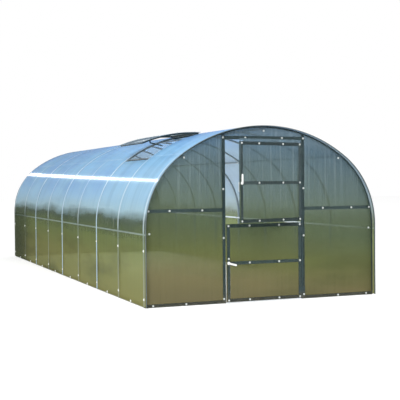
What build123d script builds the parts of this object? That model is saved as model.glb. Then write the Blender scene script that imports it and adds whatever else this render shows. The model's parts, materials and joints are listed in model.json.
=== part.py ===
"""Arched greenhouse: bent steel hoops clad in twin-wall polycarbonate sheets.

Axes: +X to the right across the front gable, +Y back along the length, +Z up.
The origin is on the ground in the middle of the plan, counted with the upper
door leaf standing ajar.
All sizes are in millimetres.
"""
import os
from math import atan2, cos, degrees, radians, sin, sqrt

from build123d import *

os.makedirs("parts", exist_ok=True)

# ---- driving dimensions ------------------------------------------------------
WIDTH = 3000.0                # over the cladding at the ground
HEIGHT = 2080.0               # over the cladding at the ridge
WALL_HEIGHT = 880.0           # upright part of the side walls
SHOULDER_RADIUS = 1050.0      # arc between the wall and the crown
BAYS = 8
BAY = 1000.0                  # spacing of the hoops
FRONT_Y = -3892.0             # outer face of the front gable frame

SHEET = 4.0                   # thickness of the cladding
SHEET_OVERHANG = 60.0         # cladding ahead of each gable
SHEET_LIFT = 10.0             # cladding above the ground
SHEET_PLAY = 0.3              # flat face of a tube under a curved sheet
SHEETS = 4                    # roof sheets, joined over a hoop

STEEL = 1.5                   # wall of the straight tubes
TUBE = 40.0                   # wide face of the hoops, rails and leaf frames
TUBE_DEPTH = 20.0
PURLIN = 20.0                 # wide face of the purlins

POST_X = 520.0                # centre of each door post
LINTEL_Z = 1935.0             # centre of the rail above the door
SIDE_RAIL_Z = 1092.0          # centre of the gable side rails
MID_PURLIN_Z = 828.0
UPPER_PURLIN_TILT = 35.5      # degrees from the vertical, about the crown centre
SHEET_SEAM = 2.0              # gable sheets and leaf sheets end this far short

LOWER_FOOT = 12.0             # ends of the two door leaves, above the ground
LOWER_TOP = 922.0
UPPER_FOOT = 946.0
UPPER_TOP = 1880.0
UPPER_MIDDLE = 1404.0         # middle rail, where the latch sits
LEAF_GAP = 12.0               # between a door leaf and its post
LEAF_PROUD = 10.0             # face of a leaf frame ahead of the gable frame
LEAF_LAP = 26.0               # sheet of a leaf past its frame on the latch side
LEAF_LAP_MEETING = 6.0        # sheet past the frame where the leaves meet
LEAF_LAP_TOP = 36.0           # sheet past the upper frame under the lintel
LEAF_AJAR = 17.5              # degrees that the upper leaf stands open

SPINDLE = 8.0                 # radius of a latch spindle
SPINDLE_PLAY = 1.0
LEVER_THICKNESS = 6.0
LEVER_WIDTH = 22.0
LEVER_LENGTH = 92.0           # from the spindle to the round end's centre
LEVER_PROUD = 5.0             # lever ahead of the leaf sheet
LEVER_TURNS = {"lower": -15.0, "upper": 90.0}    # degrees above the level
TONGUE_WIDTH = 18.0
TONGUE_LENGTH = 100.0         # below the spindle
TONGUE_BEHIND = 8.0           # tongue behind the door post

HINGE_PROUD = 11.0            # hinge line ahead of the gable frame
HINGE_LENGTH = 75.0
HINGE_INSET = 60.0            # hinge from the top or foot of its leaf
HINGE_PLATE = 2.0             # thickness
KNUCKLE = 5.0                 # radius of the bored knuckle on the moving half of a hinge
KNUCKLE_PLAY = 1.0            # between a knuckle and the plates beside it
HINGE_PIN = 3.2               # radius of a hinge pin
PIN_PLAY = 0.4

VENT_HOOP = 1                 # the vent is in the bay behind this hoop
VENT_TOP_TILT = 13.0          # degrees from the vertical, upper edge of the vent frame
VENT_FOOT_TILT = 37.5         # lower edge of the vent frame
VENT_SHEET_TILTS = (12.6, 38.5)
VENT_LAP = 46.0               # vent sheet past each side of its frame
VENT_RISE = 6.0               # vent sheet above the roof sheet when shut
VENT_OPEN = 15.6              # degrees that the vent stands open
VENT_HINGE_TILT = 11.7        # hinge line, above the upper edge of the vent
VENT_HINGE_RISE = 12.0        # hinge line above the cladding
VENT_HINGE_INSET = 120.0      # hinge from the side of the vent
VENT_SIDE_GAP = 6.0           # vent frame to the hoops beside it
VENT_CUT_MARGIN = 8.0         # opening in the roof sheet beside the vent frame
VENT_CUT_TILT = 0.3           # degrees of opening above and below the vent frame
TRIMMER_TILT = 0.4            # degrees between the vent frame and a trimmer

STAY_TILT = 34.0              # stay pivot, uphill of the purlin under the vent
STAY_INSET = 40.0             # stay pivot below the cladding when the vent is shut
STAY_DROOP = 12.0             # degrees that the stay falls inwards
STAY_LENGTH = 165.0
STAY_WIDTH = 16.0
STAY_THICKNESS = 3.0
STAY_GAP = 2.0                # between the lug and the stay
STAY_PIN = 3.0                # radius

# ---- worked out from the dimensions above ------------------------------------
HALF = WIDTH / 2
SHOULDER_X = HALF - SHOULDER_RADIUS
RISE = HEIGHT - WALL_HEIGHT
CROWN_RADIUS = (SHOULDER_RADIUS**2 - SHOULDER_X**2 - RISE**2) / (2 * SHOULDER_RADIUS - 2 * RISE)
CROWN_Z = HEIGHT - CROWN_RADIUS
SHOULDER_SPAN = sqrt(SHOULDER_X**2 + (WALL_HEIGHT - CROWN_Z) ** 2)
JOINT_TILT = degrees(atan2(SHOULDER_X, WALL_HEIGHT - CROWN_Z))    # shoulder meets crown
LENGTH = BAYS * BAY + TUBE
REAR_Y = FRONT_Y + LENGTH
HOOP_Y = [FRONT_Y + TUBE / 2 + i * BAY for i in range(BAYS + 1)]
INNER = SHEET + TUBE_DEPTH    # from the outside of the cladding to the inside of a hoop
POST_EDGE = POST_X + TUBE / 2
DOORWAY_HALF = POST_X - TUBE / 2
LEAF_HALF = DOORWAY_HALF - LEAF_GAP
STILE_X = LEAF_HALF - TUBE / 2
HINGE_X = DOORWAY_HALF - LEAF_GAP / 2
VENT_FROM = HOOP_Y[VENT_HOOP] + TUBE / 2 + VENT_SIDE_GAP
VENT_TO = HOOP_Y[VENT_HOOP + 1] - TUBE / 2 - VENT_SIDE_GAP
HALF_TUBE_TILT = degrees(TUBE / 2 / CROWN_RADIUS)


# ---- shared shapes -------------------------------------------------------------
def arch_wires(inset, foot):
    """Draw the arch at an inset inside the cladding, from foot to foot."""
    reach = SHOULDER_RADIUS - inset
    across = SHOULDER_X / SHOULDER_SPAN
    spring = (-HALF + inset, WALL_HEIGHT)
    joint = (
        -SHOULDER_X - reach * across,
        WALL_HEIGHT + reach * (WALL_HEIGHT - CROWN_Z) / SHOULDER_SPAN,
    )
    middle = (
        -SHOULDER_X - reach * sqrt((1 + across) / 2),
        WALL_HEIGHT + reach * sqrt((1 - across) / 2),
    )
    Line((spring[0], foot), spring)
    ThreePointArc(spring, middle, joint)
    ThreePointArc(joint, (0, HEIGHT - inset), (-joint[0], joint[1]))
    ThreePointArc((-joint[0], joint[1]), (-middle[0], middle[1]), (-spring[0], spring[1]))
    Line((-spring[0], spring[1]), (-spring[0], foot))


def arch_band(outer, inner, foot, y_from, y_to):
    """Add the band between two insets, from one Y to another."""
    with BuildSketch(Plane.XZ.offset(-y_from)) as band:
        with BuildLine():
            arch_wires(outer, foot)
            arch_wires(inner, foot)
            for side in (-1, 1):
                Line((side * (HALF - outer), foot), (side * (HALF - inner), foot))
        make_face()
    extrude(band.sketch, amount=-(y_to - y_from))


def arch_inside(inset, y_from, y_to, mode):
    """The whole space under the arch at an inset."""
    with BuildSketch(Plane.XZ.offset(-y_from)) as space:
        with BuildLine():
            arch_wires(inset, 0)
            Line((-HALF + inset, 0), (HALF - inset, 0))
        make_face()
    extrude(space.sketch, amount=-(y_to - y_from), mode=mode)


def crown_point(tilt, inset, y):
    """A point on the crown arc at an inset, tilted to the left of the vertical."""
    reach = CROWN_RADIUS - inset
    return (-reach * sin(radians(tilt)), y, CROWN_Z + reach * cos(radians(tilt)))


def crown_band(tilts, outer, inner, y_from, y_to, mode=Mode.ADD):
    """The band of the crown between two tilts and two insets."""
    corners = {}
    for inset in (outer, inner):
        for tilt in (tilts[0], sum(tilts) / 2, tilts[1]):
            x, _, z = crown_point(tilt, inset, 0)
            corners.setdefault(inset, []).append((x, z))
    with BuildSketch(Plane.XZ.offset(-y_from)) as band:
        with BuildLine():
            ThreePointArc(*corners[outer])
            ThreePointArc(*corners[inner])
            Line(corners[outer][0], corners[inner][0])
            Line(corners[outer][2], corners[inner][2])
        make_face()
    extrude(band.sketch, amount=-(y_to - y_from), mode=mode)


def rail(start, run, out, length, width=TUBE):
    """Add a straight tube: its outer face is centred on start, and it runs along run."""
    side = Vector(*out).cross(Vector(*run))
    with BuildSketch(Plane(origin=start, x_dir=side, z_dir=run)) as section:
        with Locations((0, -TUBE_DEPTH / 2)):
            Rectangle(width, TUBE_DEPTH)
            Rectangle(width - 2 * STEEL, TUBE_DEPTH - 2 * STEEL, mode=Mode.SUBTRACT)
    extrude(section.sketch, amount=length)


def strip(plane, x_span, y_span, z_from, z_to):
    """Add a bar with a rectangular section, along a plane's axis."""
    with BuildSketch(plane.offset(z_from)) as section:
        with Locations((sum(x_span) / 2, sum(y_span) / 2)):
            Rectangle(abs(x_span[1] - x_span[0]), abs(y_span[1] - y_span[0]))
    extrude(section.sketch, amount=z_to - z_from)


def rod(plane, radius, z_from, z_to, mode=Mode.ADD):
    """Add or bore a round bar on a plane's axis."""
    with BuildSketch(plane.offset(z_from)) as section:
        Circle(radius)
    extrude(section.sketch, amount=z_to - z_from, mode=mode)


def save(shape, name):
    """Label a finished piece and write it."""
    shape.label = name
    export_step(shape, f"parts/{name}.step")


# ---- hoops ---------------------------------------------------------------------
HOOP_NAMES = ["front_hoop"] + [f"hoop_{i}" for i in range(1, BAYS)] + ["rear_hoop"]
for hoop_name, hoop_y in zip(HOOP_NAMES, HOOP_Y):
    with BuildPart() as hoop:
        arch_band(SHEET, INNER, 0, hoop_y - TUBE / 2, hoop_y + TUBE / 2)
    save(hoop.part, hoop_name)


# ---- purlins and base rails ------------------------------------------------------
PURLIN_SEAT = CROWN_RADIUS - sqrt((CROWN_RADIUS - INNER) ** 2 - (PURLIN / 2) ** 2)
PURLIN_TILTS = {
    "ridge_purlin": 0.0,
    "left_upper_purlin": UPPER_PURLIN_TILT,
    "right_upper_purlin": -UPPER_PURLIN_TILT,
}
for purlin_name, tilt in PURLIN_TILTS.items():
    with BuildPart() as purlin:
        inward = (sin(radians(tilt)), 0, -cos(radians(tilt)))
        start = crown_point(tilt, PURLIN_SEAT + TUBE_DEPTH, FRONT_Y)
        rail(start, (0, 1, 0), inward, LENGTH, PURLIN)
    save(purlin.part, purlin_name)

for side, side_name in ((-1, "left"), (1, "right")):
    with BuildPart() as mid_purlin:
        start = (side * (HALF - INNER - TUBE_DEPTH), FRONT_Y, MID_PURLIN_Z)
        rail(start, (0, 1, 0), (-side, 0, 0), LENGTH, PURLIN)
    save(mid_purlin.part, f"{side_name}_mid_purlin")

    with BuildPart() as base_rail:
        for bay in range(BAYS):
            start = (side * (HALF - SHEET), HOOP_Y[bay] + TUBE / 2, TUBE / 2)
            rail(start, (0, 1, 0), (side, 0, 0), BAY - TUBE)
    save(base_rail.part, f"{side_name}_base_rail")

# ---- gable frames ----------------------------------------------------------------
GABLES = (("front", FRONT_Y, -1), ("rear", REAR_Y, 1))
for gable, face_y, facing in GABLES:
    out = (0, facing, 0)
    span = sorted((face_y, face_y - facing * TUBE_DEPTH))

    with BuildPart() as posts:
        for side in (-1, 1):
            rail((side * POST_X, face_y, 0), (0, 0, 1), out, HEIGHT)
        arch_inside(INNER, *span, Mode.INTERSECT)
    save(posts.part, f"{gable}_posts")

    with BuildPart() as lintel:
        rail((-DOORWAY_HALF, face_y, LINTEL_Z), (1, 0, 0), out, 2 * DOORWAY_HALF)
    save(lintel.part, f"{gable}_lintel")

    with BuildPart() as side_rails:
        for side in (-1, 1):
            rail((side * POST_EDGE, face_y, SIDE_RAIL_Z), (side, 0, 0), out, HALF - POST_EDGE)
        arch_inside(INNER, *span, Mode.INTERSECT)
    save(side_rails.part, f"{gable}_side_rails")

    with BuildPart() as base_rails:
        for side in (-1, 1):
            start = (side * POST_EDGE, face_y, TUBE / 2)
            rail(start, (side, 0, 0), out, HALF - INNER - POST_EDGE)
    save(base_rails.part, f"{gable}_base_rails")

# ---- cladding --------------------------------------------------------------------
ROOF_JOINTS = [FRONT_Y - SHEET_OVERHANG, *HOOP_Y[2:BAYS:2], REAR_Y + SHEET_OVERHANG]
VENT_CUT_TILTS = (VENT_TOP_TILT - VENT_CUT_TILT, VENT_FOOT_TILT + VENT_CUT_TILT)
VENT_CUT_SPAN = (VENT_FROM - VENT_CUT_MARGIN, VENT_TO + VENT_CUT_MARGIN)
for number in range(SHEETS):
    with BuildPart() as roof_sheet:
        arch_band(0, SHEET, SHEET_LIFT, ROOF_JOINTS[number], ROOF_JOINTS[number + 1])
        if number == 0:
            crown_band(VENT_CUT_TILTS, -SHEET, 2 * SHEET, *VENT_CUT_SPAN, Mode.SUBTRACT)
    save(roof_sheet.part, f"roof_sheet_{number + 1}")

SHEET_EDGE_X = POST_X - SHEET_SEAM       # gable sheets end on the posts
for gable, face_y, facing in GABLES:
    span = sorted((face_y, face_y + facing * SHEET))
    with BuildPart() as whole_gable:
        arch_inside(SHEET, *span, Mode.ADD)
    for side, side_name in ((-1, "left"), (1, "right")):
        with BuildPart() as gable_sheet:
            add(whole_gable.part)
            with BuildSketch(Plane.XY.offset(SHEET_LIFT)):
                with Locations((side * (SHEET_EDGE_X + HALF) / 2, face_y)):
                    Rectangle(HALF - SHEET_EDGE_X, 4 * SHEET)
            extrude(amount=HEIGHT, mode=Mode.INTERSECT)
        save(gable_sheet.part, f"{gable}_sheet_{side_name}")
    with BuildPart() as over_door:
        add(whole_gable.part)
        with BuildSketch(Plane.XY.offset(LINTEL_Z)):
            with Locations((0, face_y)):
                Rectangle(2 * SHEET_EDGE_X, 4 * SHEET)
        extrude(amount=HEIGHT, mode=Mode.INTERSECT)
    save(over_door.part, f"{gable}_sheet_over_door")


# ---- door leaves -------------------------------------------------------------------
class Leaf:
    """Heights of one door leaf, and how far its sheet laps past the frame."""

    def __init__(self, foot, top, middle, lap_foot, lap_top):
        self.foot = foot
        self.top = top
        self.middle = middle
        self.lap_foot = lap_foot
        self.lap_top = lap_top

    def frame(self, face_y, facing):
        """Add the welded frame: two stiles and three rails between them."""
        out = (0, facing, 0)
        for side in (-1, 1):
            rail((side * STILE_X, face_y, self.foot), (0, 0, 1), out, self.top - self.foot)
        reach = STILE_X - TUBE / 2
        for height in (self.foot + TUBE / 2, self.middle, self.top - TUBE / 2):
            rail((-reach, face_y, height), (1, 0, 0), out, 2 * reach)

    def sheet(self, face_y, facing):
        """Add the sheet, which laps past the frame except at the hinges."""
        low = self.foot - self.lap_foot
        high = self.top + self.lap_top
        left = -LEAF_HALF - LEAF_LAP
        right = LEAF_HALF - SHEET_SEAM
        with BuildSketch(Plane.XZ.offset(-face_y)) as pane:
            with Locations(((left + right) / 2, (low + high) / 2)):
                Rectangle(right - left, high - low)
        extrude(pane.sketch, amount=-facing * SHEET)

    def spindle_plane(self, y):
        """Plane across the latch spindle, facing out of the front gable."""
        return Plane(origin=(-STILE_X, y, self.middle), x_dir=(1, 0, 0), z_dir=(0, -1, 0))

    def spindle_hole(self):
        """Bore for the latch spindle."""
        with BuildSketch(self.spindle_plane(FRONT_Y)) as bore:
            Circle(SPINDLE + SPINDLE_PLAY)
        extrude(bore.sketch, amount=2 * TUBE_DEPTH, both=True, mode=Mode.SUBTRACT)

    def hinge_feet(self):
        """Heights of the lower end of each hinge."""
        return (self.foot + HINGE_INSET, self.top - HINGE_INSET - HINGE_LENGTH)


LOWER_MIDDLE = (LOWER_FOOT + LOWER_TOP) / 2
LOWER = Leaf(LOWER_FOOT, LOWER_TOP, LOWER_MIDDLE, 0.0, LEAF_LAP_MEETING)
UPPER = Leaf(UPPER_FOOT, UPPER_TOP, UPPER_MIDDLE, LEAF_LAP_MEETING, LEAF_LAP_TOP)
DOOR_AXIS = Axis((HINGE_X, FRONT_Y - HINGE_PROUD, 0), (0, 0, 1))
LEAF_TURNS = (("lower", LOWER, 0.0), ("upper", UPPER, LEAF_AJAR))
for leaf_name, leaf, ajar in LEAF_TURNS:
    with BuildPart() as leaf_frame:
        leaf.frame(FRONT_Y - LEAF_PROUD, -1)
        leaf.spindle_hole()
    save(leaf_frame.part.rotate(DOOR_AXIS, ajar), f"{leaf_name}_leaf_frame")
    with BuildPart() as leaf_sheet:
        leaf.sheet(FRONT_Y - LEAF_PROUD, -1)
        leaf.spindle_hole()
    save(leaf_sheet.part.rotate(DOOR_AXIS, ajar), f"{leaf_name}_leaf_sheet")

with BuildPart() as rear_frames:
    for leaf in (LOWER, UPPER):
        leaf.frame(REAR_Y + LEAF_PROUD, 1)
save(rear_frames.part, "rear_leaf_frames")
with BuildPart() as rear_sheets:
    for leaf in (LOWER, UPPER):
        leaf.sheet(REAR_Y + LEAF_PROUD, 1)
save(rear_sheets.part, "rear_leaf_sheets")


# ---- hinges ------------------------------------------------------------------------
HALF_HINGE = HINGE_LENGTH / 2


def fixed_half(plane, plate_x, plate_y):
    """Plate, with a block half as long that holds the pin on the plane's axis."""
    strip(plane, plate_x, plate_y, 0, HINGE_LENGTH)
    strip(plane, (plate_x[1], 0), (plate_y[0], 0), 0, HALF_HINGE - PIN_PLAY)
    rod(plane, HINGE_PIN, 0, HINGE_LENGTH)


def moving_half(plane, plate_x, plate_y):
    """Plate and knuckle that lift off the same pin."""
    strip(plane, plate_x, plate_y, 0, HINGE_LENGTH)
    rod(plane, KNUCKLE, HALF_HINGE, HINGE_LENGTH)
    strip(plane, (0, plate_x[0]), plate_y, HALF_HINGE, HINGE_LENGTH)
    rod(plane, HINGE_PIN + PIN_PLAY, HALF_HINGE, HINGE_LENGTH, Mode.SUBTRACT)


def door_hinge_plane(height, gable_y, facing):
    """Pin upright, X towards the leaf, Y out of the gable."""
    foot = height if facing < 0 else height + HINGE_LENGTH
    origin = (HINGE_X, gable_y + facing * HINGE_PROUD, foot)
    return Plane(origin=origin, x_dir=(-1, 0, 0), z_dir=(0, 0, -facing))


PLATE_EDGE = KNUCKLE + KNUCKLE_PLAY
LEAF_FACE = LEAF_PROUD + SHEET - HINGE_PROUD
FIXED_PLATE_X = (-(POST_EDGE - HINGE_X), -PLATE_EDGE)
FIXED_PLATE_Y = (SHEET - HINGE_PROUD, SHEET - HINGE_PROUD + HINGE_PLATE + KNUCKLE_PLAY)
MOVING_PLATE_X = (PLATE_EDGE, POST_EDGE - HINGE_X)
MOVING_PLATE_Y = (LEAF_FACE, LEAF_FACE + HINGE_PLATE)


with BuildPart() as post_hinges:
    for leaf in (LOWER, UPPER):
        for height in leaf.hinge_feet():
            plane = door_hinge_plane(height, FRONT_Y, -1)
            fixed_half(plane, FIXED_PLATE_X, FIXED_PLATE_Y)
save(post_hinges.part, "post_hinges")

for leaf_name, leaf, ajar in LEAF_TURNS:
    with BuildPart() as leaf_hinges:
        for height in leaf.hinge_feet():
            moving_half(door_hinge_plane(height, FRONT_Y, -1), MOVING_PLATE_X, MOVING_PLATE_Y)
    save(leaf_hinges.part.rotate(DOOR_AXIS, ajar), f"{leaf_name}_leaf_hinges")

with BuildPart() as rear_hinges:
    for leaf in (LOWER, UPPER):
        for height in leaf.hinge_feet():
            plane = door_hinge_plane(height, REAR_Y, 1)
            strip(plane, FIXED_PLATE_X, FIXED_PLATE_Y, 0, HINGE_LENGTH)
            strip(plane, (FIXED_PLATE_X[1], 0), FIXED_PLATE_Y, 0, HINGE_LENGTH)
            strip(plane, (0, MOVING_PLATE_X[1]), MOVING_PLATE_Y, 0, HINGE_LENGTH)
            rod(plane, KNUCKLE, 0, HINGE_LENGTH)
save(rear_hinges.part, "rear_hinges")


# ---- latches -------------------------------------------------------------------------
LEVER_Y = FRONT_Y - LEAF_PROUD - SHEET - LEVER_PROUD
TONGUE_Y = FRONT_Y + TUBE_DEPTH + TONGUE_BEHIND + LEVER_THICKNESS


def lever(plane, turn):
    """Add a flat lever with round ends, turned about the spindle."""
    with BuildSketch(plane) as outline:
        with PolarLocations(LEVER_LENGTH / 2, 1, start_angle=turn):
            SlotOverall(LEVER_LENGTH + LEVER_WIDTH, LEVER_WIDTH)
    extrude(outline.sketch, amount=LEVER_THICKNESS)


TONGUE_X = (-TONGUE_WIDTH / 2, TONGUE_WIDTH / 2)
TONGUE_DROP = (-TONGUE_LENGTH, TONGUE_WIDTH / 2)
for leaf_name, leaf, ajar in LEAF_TURNS:
    with BuildPart() as latch:
        lever(leaf.spindle_plane(LEVER_Y), LEVER_TURNS[leaf_name])
        strip(leaf.spindle_plane(TONGUE_Y), TONGUE_X, TONGUE_DROP, 0, LEVER_THICKNESS)
        rod(leaf.spindle_plane(TONGUE_Y), SPINDLE, 0, TONGUE_Y - LEVER_Y + LEVER_THICKNESS)
    save(latch.part.rotate(DOOR_AXIS, ajar), f"{leaf_name}_latch")

# ---- roof vent -----------------------------------------------------------------------
hinge_x, _, hinge_z = crown_point(VENT_HINGE_TILT, -VENT_HINGE_RISE, 0)
VENT_AXIS = Axis((hinge_x, 0, hinge_z), (0, 1, 0))


def outward(tilt):
    """Direction out of the crown at a tilt to the left of the vertical."""
    return (-sin(radians(tilt)), 0, cos(radians(tilt)))


with BuildPart() as trimmers:
    start_y = VENT_FROM - VENT_SIDE_GAP
    header_tilt = VENT_TOP_TILT - TRIMMER_TILT - HALF_TUBE_TILT
    header = crown_point(header_tilt, SHEET + SHEET_PLAY, start_y)
    rail(header, (0, 1, 0), outward(header_tilt), BAY - TUBE)
    past_joint = radians(VENT_FOOT_TILT + TRIMMER_TILT - JOINT_TILT) * CROWN_RADIUS + TUBE / 2
    sill_tilt = JOINT_TILT + degrees(past_joint / SHOULDER_RADIUS)
    reach = SHOULDER_RADIUS - SHEET - SHEET_PLAY
    away_x, _, away_z = outward(sill_tilt)
    sill = (-SHOULDER_X + reach * away_x, start_y, WALL_HEIGHT + reach * away_z)
    rail(sill, (0, 1, 0), outward(sill_tilt), BAY - TUBE)
save(trimmers.part, "vent_trimmers")

LUG_Y = VENT_FROM + TUBE         # the lug hangs on the inner side of the front curved rail
STAY_Y = LUG_Y + STAY_THICKNESS + STAY_GAP
pivot = crown_point(STAY_TILT, STAY_INSET, 0)
with BuildPart() as vent_frame:
    tilts = (VENT_TOP_TILT, VENT_FOOT_TILT)
    for y_from in (VENT_FROM, VENT_TO - TUBE):
        crown_band(tilts, -VENT_RISE, TUBE_DEPTH - VENT_RISE, y_from, y_from + TUBE)
    for tilt in (VENT_TOP_TILT + HALF_TUBE_TILT, VENT_FOOT_TILT - HALF_TUBE_TILT):
        start = crown_point(tilt, SHEET_PLAY - VENT_RISE, VENT_FROM + TUBE)
        rail(start, (0, 1, 0), outward(tilt), VENT_TO - VENT_FROM - 2 * TUBE)
    lug_plane = Plane(
        origin=(pivot[0], LUG_Y, pivot[2]),
        x_dir=(cos(radians(STAY_TILT)), 0, sin(radians(STAY_TILT))),
        z_dir=(0, 1, 0),
    )
    strip(lug_plane, (-STAY_WIDTH / 2, STAY_WIDTH / 2), (-STAY_INSET, 0), -STEEL, STAY_THICKNESS)
    rod(lug_plane, STAY_WIDTH / 2, 0, STAY_THICKNESS)
    rod(lug_plane, STAY_PIN, 0, STAY_Y - LUG_Y + 2 * STAY_THICKNESS)
save(vent_frame.part.rotate(VENT_AXIS, VENT_OPEN), "vent_frame")

with BuildPart() as vent_sheet:
    skin = -VENT_RISE - SHEET
    crown_band(VENT_SHEET_TILTS, skin, -VENT_RISE, VENT_FROM - VENT_LAP, VENT_TO + VENT_LAP)
save(vent_sheet.part.rotate(VENT_AXIS, VENT_OPEN), "vent_sheet")


def vent_hinge_plane(y_from):
    """Pin level, X down the slope towards the vent, Y away from the roof."""
    tilt = radians(VENT_HINGE_TILT)
    origin = (hinge_x, y_from + HINGE_LENGTH, hinge_z)
    return Plane(origin=origin, x_dir=(-cos(tilt), 0, -sin(tilt)), z_dir=(0, -1, 0))


VENT_HINGE_Y = (VENT_FROM + VENT_HINGE_INSET, VENT_TO - VENT_HINGE_INSET - HINGE_LENGTH)
VENT_MOUNT_X = (-TUBE, -PLATE_EDGE)
VENT_MOUNT_Y = (-VENT_HINGE_RISE, -VENT_HINGE_RISE + HINGE_PLATE)
VENT_LEAF_Y = (SHEET + VENT_RISE - VENT_HINGE_RISE, SHEET + VENT_RISE - VENT_HINGE_RISE + HINGE_PLATE)
with BuildPart() as vent_hinge_mounts:
    for y_from in VENT_HINGE_Y:
        fixed_half(vent_hinge_plane(y_from), VENT_MOUNT_X, VENT_MOUNT_Y)
save(vent_hinge_mounts.part, "vent_hinge_mounts")

with BuildPart() as vent_hinges:
    for y_from in VENT_HINGE_Y:
        moving_half(vent_hinge_plane(y_from), (PLATE_EDGE, 1.5 * TUBE), VENT_LEAF_Y)
save(vent_hinges.part.rotate(VENT_AXIS, VENT_OPEN), "vent_hinges")

rest_pivot = Vector(pivot[0], 0, pivot[2]) - Vector(hinge_x, 0, hinge_z)
rest_pivot = rest_pivot.rotate(Axis.Y, VENT_OPEN) + Vector(hinge_x, STAY_Y, hinge_z)
with BuildPart() as vent_stay:
    stay_plane = Plane(origin=rest_pivot, x_dir=(1, 0, 0), z_dir=(0, 1, 0)).rotated((0, STAY_DROOP, 0))
    with BuildSketch(stay_plane):
        with Locations((STAY_LENGTH / 2, 0)):
            SlotOverall(STAY_LENGTH + STAY_WIDTH, STAY_WIDTH)
        with Locations((0, 0), (STAY_LENGTH, 0)):
            Circle(STAY_PIN + PIN_PLAY, mode=Mode.SUBTRACT)
    extrude(amount=STAY_THICKNESS)
save(vent_stay.part, "vent_stay")
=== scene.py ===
"""Looks of an arched polycarbonate greenhouse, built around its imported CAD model.

Everything is in metres, in the frame of the CAD: X to the right across the front
gable, Y back along the length, Z up.
"""
import json
import logging
import math
from dataclasses import dataclass, field, replace
from enum import Enum
from functools import reduce

import bmesh
import bpy
from mathutils import Matrix, Vector


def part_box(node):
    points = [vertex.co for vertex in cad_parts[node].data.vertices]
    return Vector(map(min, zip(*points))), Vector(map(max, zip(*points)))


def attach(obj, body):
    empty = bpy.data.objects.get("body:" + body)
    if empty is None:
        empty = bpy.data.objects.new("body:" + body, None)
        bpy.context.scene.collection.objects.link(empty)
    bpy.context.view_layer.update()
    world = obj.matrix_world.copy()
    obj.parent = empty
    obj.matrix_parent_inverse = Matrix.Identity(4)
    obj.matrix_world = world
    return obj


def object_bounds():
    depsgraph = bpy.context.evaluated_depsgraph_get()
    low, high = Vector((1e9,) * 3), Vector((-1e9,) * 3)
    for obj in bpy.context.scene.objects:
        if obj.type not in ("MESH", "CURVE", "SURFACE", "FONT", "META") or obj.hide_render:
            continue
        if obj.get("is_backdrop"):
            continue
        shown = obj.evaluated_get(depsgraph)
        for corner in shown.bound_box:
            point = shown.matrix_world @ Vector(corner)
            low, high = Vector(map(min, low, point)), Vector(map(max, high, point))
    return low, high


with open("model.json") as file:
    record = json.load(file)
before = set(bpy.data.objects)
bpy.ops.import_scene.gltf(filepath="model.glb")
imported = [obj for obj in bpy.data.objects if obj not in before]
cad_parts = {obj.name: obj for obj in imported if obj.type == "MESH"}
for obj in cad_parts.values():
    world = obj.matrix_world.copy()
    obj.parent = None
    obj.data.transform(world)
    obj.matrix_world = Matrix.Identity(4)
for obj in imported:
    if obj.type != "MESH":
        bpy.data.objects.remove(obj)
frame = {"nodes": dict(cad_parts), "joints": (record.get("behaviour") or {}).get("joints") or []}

LOG = logging.getLogger("greenhouse")
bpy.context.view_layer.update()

# Two ends, the middle and width of a soft step, or features across and along flutes.
Pair = tuple[float, float]
Triple = tuple[float, float, float]
Rgb = Triple
Stops = tuple[tuple[float, Rgb], ...]
# Sides of a turned shape, and the radius, as a share of its rim, and height of each point.
Shape = tuple[int, tuple[Pair, ...]]


# ---- shader expressions ----
@dataclass(frozen=True)
class Field:
    """A number, vector or colour that changes over a surface; arithmetic on it adds Math nodes."""

    graph: "Graph"
    socket: bpy.types.NodeSocket

    def math(self, operation: str, *values: "Field | float") -> "Field":
        """Return the result of a Math node, given Blender's name of its operation and its inputs."""
        return self.graph.node("Math", {"operation": operation}, dict(enumerate(values)))

    def __add__(self, other: "Field | float") -> "Field":
        """Return self + other."""
        return self.math("ADD", self, other)

    def __mul__(self, other: "Field | float") -> "Field":
        """Return self * other."""
        return self.math("MULTIPLY", self, other)

    __radd__ = __add__
    __rmul__ = __mul__

    def __sub__(self, other: "Field | float") -> "Field":
        """Return self - other."""
        return self.math("SUBTRACT", self, other)

    def __rsub__(self, other: "Field | float") -> "Field":
        """Return other - self."""
        return self.math("SUBTRACT", other, self)

    def __abs__(self) -> "Field":
        """Return its distance from 0."""
        return self.math("ABSOLUTE", self)

    def above(self, edge: float, width: float) -> "Field":
        """Return 0 below an edge and 1 above it, with a soft step of that width."""
        return self.graph.node(
            "MapRange",
            {"interpolation_type": "SMOOTHSTEP"},
            {"Value": self, "From Min": edge - width / 2, "From Max": edge + width / 2},
        )

    def below(self, edge: float, width: float) -> "Field":
        """Return 1 below an edge and 0 above it, with a soft step of that width."""
        return 1.0 - self.above(edge, width)

    def near(self, place: float, reach: float, width: float) -> "Field":
        """Return 1 within a reach of a place and 0 outside it, with soft steps of that width."""
        return abs(self - place).below(reach, width)

    def near_each(self, first: float, pitch: float, reach: float, width: float) -> "Field":
        """Return 1 within a reach of each place of a row, and 0 between them."""
        return self.math("PINGPONG", self - first, pitch / 2).below(reach, width)

    def either(self, other: "Field | float") -> "Field":
        """Return the larger of both."""
        return self.math("MAXIMUM", self, other)

    def wave(self, pitch: float) -> "Field":
        """Return a sine that repeats at this pitch, from -1 to 1."""
        return self.math("SINE", self * (2 * math.pi / pitch))

    def from_to(self, low: float, high: float) -> "Field":
        """Return low where it is 0, and high where it is 1."""
        return self * (high - low) + low


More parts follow.
